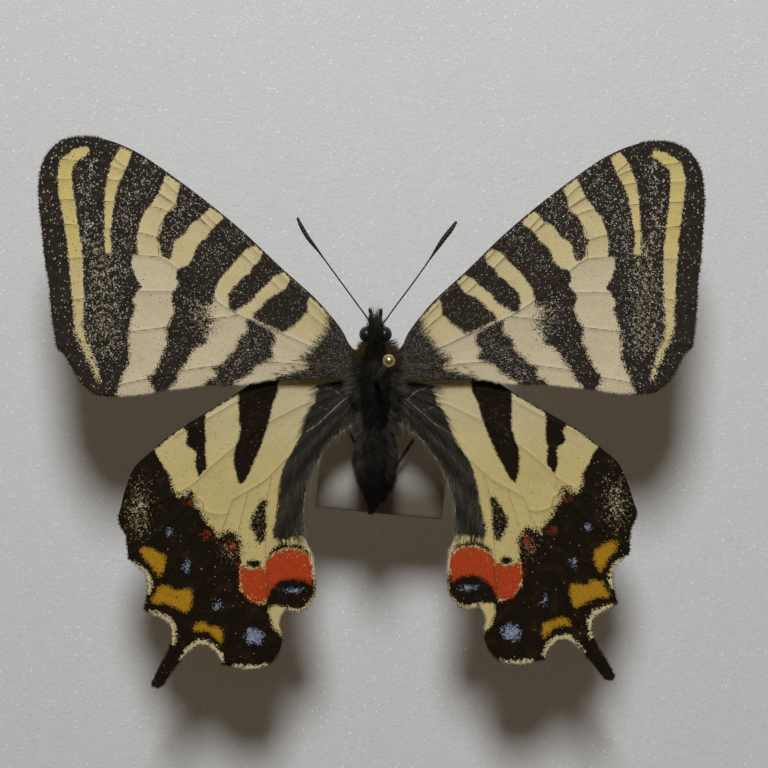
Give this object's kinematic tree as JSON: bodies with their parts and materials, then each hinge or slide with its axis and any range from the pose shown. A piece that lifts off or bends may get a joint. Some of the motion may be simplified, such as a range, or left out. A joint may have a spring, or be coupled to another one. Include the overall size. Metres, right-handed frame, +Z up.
{
  "type": "pinned luehdorfia butterfly",
  "caption": "Life-size spread butterfly with banded wings and short tails, held on a leaning insect pin over a small raised label and a square foam board.",
  "frame": {"origin": "middle of the foam board's underside", "axes": "+Z up off the board, +Y towards the butterfly's head, +X towards its right wings"},
  "size_m": [0.084, 0.084, 0.0405],
  "materials": {
    "foam": "matt, fine-grained white foam",
    "paper": "matt",
    "pin_steel": "polished",
    "forewing_scales": "matt scales",
    "hindwing_scales": "matt scales",
    "body_hair": "matt hair",
    "eye": "gloss",
    "feeler": "satin",
    "leg": "matt"
  },
  "bodies": {
    "root": {"board": "foam", "label": "paper", "pin": "pin_steel", "head": "body_hair", "thorax": "body_hair", "abdomen": "body_hair", "eye_left": "eye", "eye_right": "eye", "palp_left": "body_hair", "palp_right": "body_hair", "proboscis": "feeler", "antenna_left": "feeler", "antenna_right": "feeler", "leg_fore_left": "leg", "leg_fore_right": "leg", "leg_mid_left": "leg", "leg_mid_right": "leg", "leg_hind_left": "leg", "leg_hind_right": "leg", "forewing_left": "forewing_scales", "forewing_right": "forewing_scales", "hindwing_left": "hindwing_scales", "hindwing_right": "hindwing_scales"}
  },
  "joints": []
}
